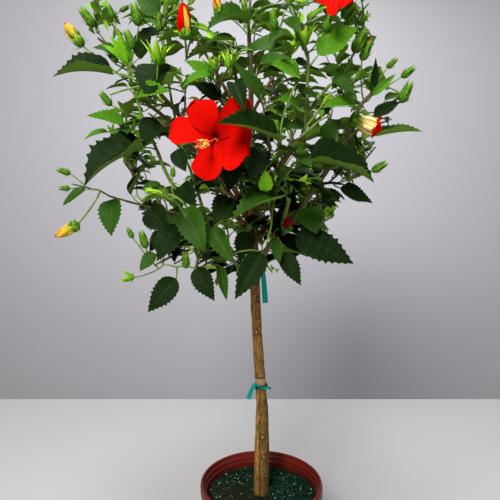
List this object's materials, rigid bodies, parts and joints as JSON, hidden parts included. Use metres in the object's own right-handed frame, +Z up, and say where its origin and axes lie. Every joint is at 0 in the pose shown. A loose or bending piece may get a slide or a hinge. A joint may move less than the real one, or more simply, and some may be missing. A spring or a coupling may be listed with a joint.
{
  "type": "hibiscus shrub",
  "caption": "Hibiscus grown as a small standard tree: one clear stem with an open rounded head of serrated leaves, buds and a red bloom, in a round plastic nursery pot.",
  "frame": {"origin": "centre of the pot's flat underside", "axes": "+Z up along the stem; -Y is the front, where the large bloom faces; +X to the right seen from the front"},
  "size_m": [0.6205, 0.5795, 1.0149],
  "materials": {
    "pot_plastic": "satin moulded plastic",
    "potting_mix": "rough dyed bark mulch with white grit",
    "bark": "rough olive-brown bark",
    "tie_tape": "soft matte tape",
    "leaf": "glossy leaf",
    "petal": "soft satin petal"
  },
  "bodies": {
    "root": {"pot": "pot_plastic", "potting_mix": "potting_mix", "trunk": "bark", "tie_low": "tie_tape", "tie_high": "tie_tape", "bough_front_left": "bark", "bough_left": "bark", "bough_left_low": "bark", "bough_left_back": "bark", "bough_back": "bark", "bough_back_low": "bark", "bough_right_back": "bark", "bough_right": "bark", "bough_right_low": "bark", "bough_front_right": "bark", "bough_front": "bark", "bough_skirt_left": "bark", "bough_top": "bark", "bough_top_left": "bark", "bough_top_right": "bark", "foliage_skirt_left": "leaf", "foliage_skirt_front_left": "leaf", "foliage_skirt_front": "leaf", "foliage_skirt_right": "leaf", "foliage_skirt_back_right": "leaf", "foliage_skirt_back": "leaf", "foliage_skirt_back_left": "leaf", "foliage_low_left_tip": "leaf", "foliage_middle_front_left": "leaf", "foliage_middle_front": "leaf", "foliage_middle_right_front": "leaf", "foliage_middle_left": "leaf", "foliage_bloom_front": "leaf", "foliage_front_right": "leaf", "foliage_middle_right": "leaf", "foliage_middle_back_right": "leaf", "foliage_middle_back_left": "leaf", "foliage_middle_left_back": "leaf", "foliage_left_tip": "leaf", "foliage_upper_left": "leaf", "foliage_front_left": "leaf", "foliage_upper_front_left": "leaf", "foliage_upper_front": "leaf", "foliage_upper_front_right": "leaf", "foliage_upper_right": "leaf", "foliage_right_tip": "leaf", "foliage_upper_back_right": "leaf", "foliage_upper_back": "leaf", "foliage_upper_back_left": "leaf", "foliage_upper_left_back": "leaf", "foliage_top_front": "leaf", "foliage_top_right": "leaf", "foliage_top_left": "leaf", "foliage_top_back": "leaf"}
  },
  "joints": []
}
